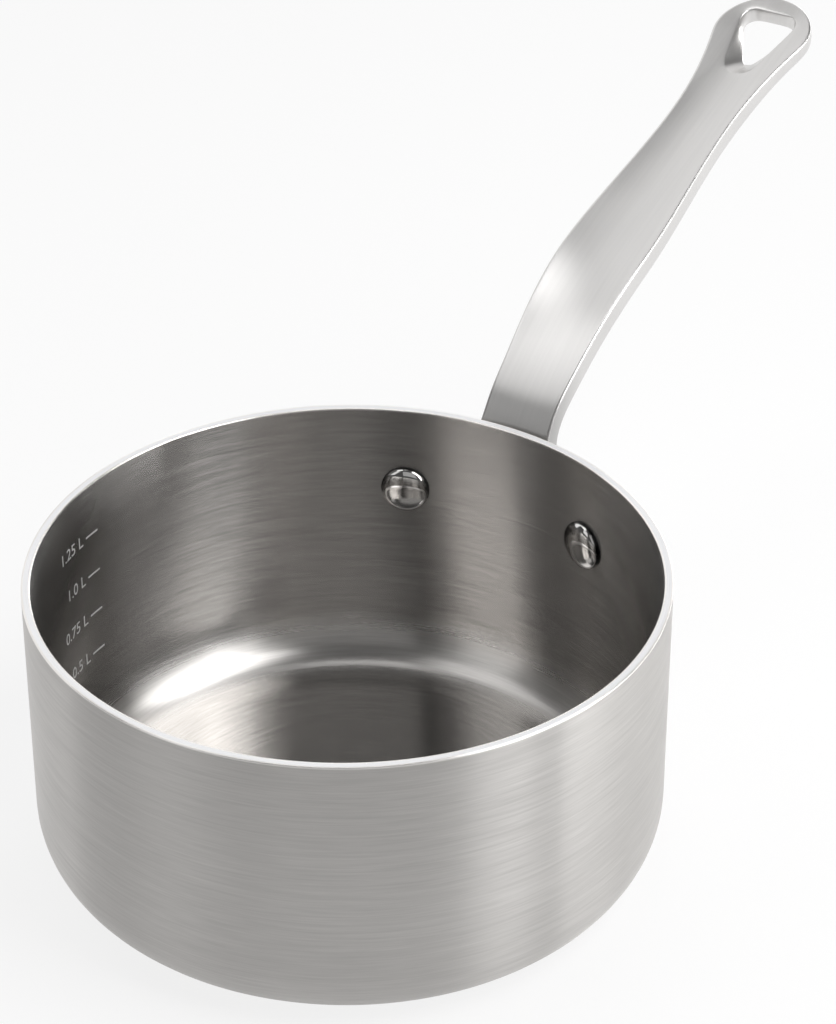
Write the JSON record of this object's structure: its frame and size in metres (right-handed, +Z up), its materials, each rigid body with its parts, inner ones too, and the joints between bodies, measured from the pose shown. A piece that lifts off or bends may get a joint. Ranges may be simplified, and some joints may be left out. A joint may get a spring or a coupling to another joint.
{
  "type": "saucepan",
  "caption": "Long-handled saucepan in bonded three-ply steel, with a straight wall, rounded corner, riveted cast handle and a rounded-triangle hanging hole.",
  "frame": {"origin": "centre of the pan's underside, on the surface it stands on", "axes": "+X along the handle, away from the pan; +Z up through the rim; the part is symmetric about the XZ plane"},
  "size_m": [0.3296, 0.1646, 0.1448],
  "materials": {
    "inner_steel": "brushed round the wall, satin",
    "core_aluminium": "ground edge",
    "outer_steel": "finely brushed round the wall",
    "cast_steel": "satin, brushed along the bar",
    "polished_steel": "mirror polish"
  },
  "bodies": {
    "root": {"inner_ply": "inner_steel", "core_ply": "core_aluminium", "outer_ply": "outer_steel", "handle": "cast_steel", "rivet_left": "polished_steel", "rivet_right": "polished_steel"}
  },
  "joints": []
}
